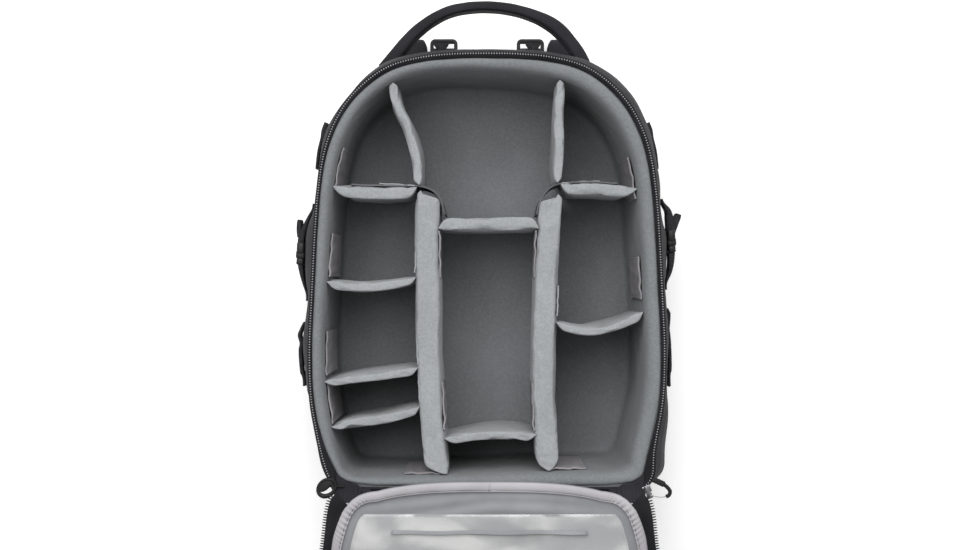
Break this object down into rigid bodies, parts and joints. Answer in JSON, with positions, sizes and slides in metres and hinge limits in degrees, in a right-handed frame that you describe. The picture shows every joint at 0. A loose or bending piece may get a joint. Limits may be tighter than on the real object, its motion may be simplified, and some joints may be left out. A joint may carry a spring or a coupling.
{
  "type": "camera backpack",
  "caption": "Backpack for camera gear, lying on its harness with the front panel unzipped and folded down past the bottom edge, showing padded dividers.",
  "frame": {"origin": "middle of the outer box, on the surface that the bag lies on", "axes": "+Y runs up the bag towards the carry handle, +Z out of the open compartment, +X to the right of the open compartment with the handle at the top"},
  "size_m": [0.355, 0.8024, 0.1757],
  "materials": {
    "nylon": "matt woven nylon, black",
    "webbing": "matt ribbed nylon, black",
    "zip": "woven tape with moulded teeth",
    "lining": "brushed loop fabric over foam, light grey",
    "hook_tab": "fabric with hook tape behind, mid grey",
    "binding": "gathered elastic binding, light grey",
    "clear_film": "clear vinyl",
    "plastic": "moulded acetal, black",
    "slider": "black painted die casting",
    "pull": "moulded loop, black"
  },
  "bodies": {
    "root": {"outer_shell": "nylon", "padded_liner": "lining", "body_zip_tape": "zip", "long_divider_left": "lining", "long_divider_right": "lining", "left_shelf_1": "lining", "left_shelf_2": "lining", "left_shelf_3": "lining", "left_shelf_4": "lining", "centre_shelf_1": "lining", "centre_shelf_2": "lining", "right_shelf_1": "lining", "right_shelf_2": "lining", "upper_divider_left": "lining", "upper_divider_right": "lining", "tab_left_shelf_1": "hook_tab", "tab_left_shelf_2": "hook_tab", "tab_left_shelf_3": "hook_tab", "tab_left_shelf_4": "hook_tab", "tab_right_shelf_1": "hook_tab", "tab_right_shelf_2": "hook_tab", "tab_centre_shelf_1_left": "hook_tab", "tab_centre_shelf_1_right": "hook_tab", "tab_centre_shelf_2_left": "hook_tab", "tab_centre_shelf_2_right": "hook_tab", "panel_shell": "nylon", "panel_lining": "lining", "panel_binding": "binding", "panel_zip_tape": "zip", "panel_window": "clear_film", "window_hem": "binding", "hinge_fabric": "nylon", "handle": "nylon", "back_pad_left": "nylon", "shoulder_strap_left": "nylon", "lower_webbing_left": "webbing", "ladder_lock_left": "plastic", "top_buckle_left": "plastic", "top_webbing_left": "webbing", "side_strap_left": "webbing", "side_tail_left": "webbing", "side_buckle_left": "plastic", "side_tab_left": "webbing", "side_loops_left": "webbing", "slider_left": "slider", "pull_left": "pull", "back_pad_right": "nylon", "shoulder_strap_right": "nylon", "lower_webbing_right": "webbing", "ladder_lock_right": "plastic", "top_buckle_right": "plastic", "top_webbing_right": "webbing", "side_strap_right": "webbing", "side_tail_right": "webbing", "side_buckle_right": "plastic", "side_tab_right": "webbing", "side_loops_right": "webbing", "slider_right": "slider", "pull_right": "pull"}
  },
  "joints": []
}
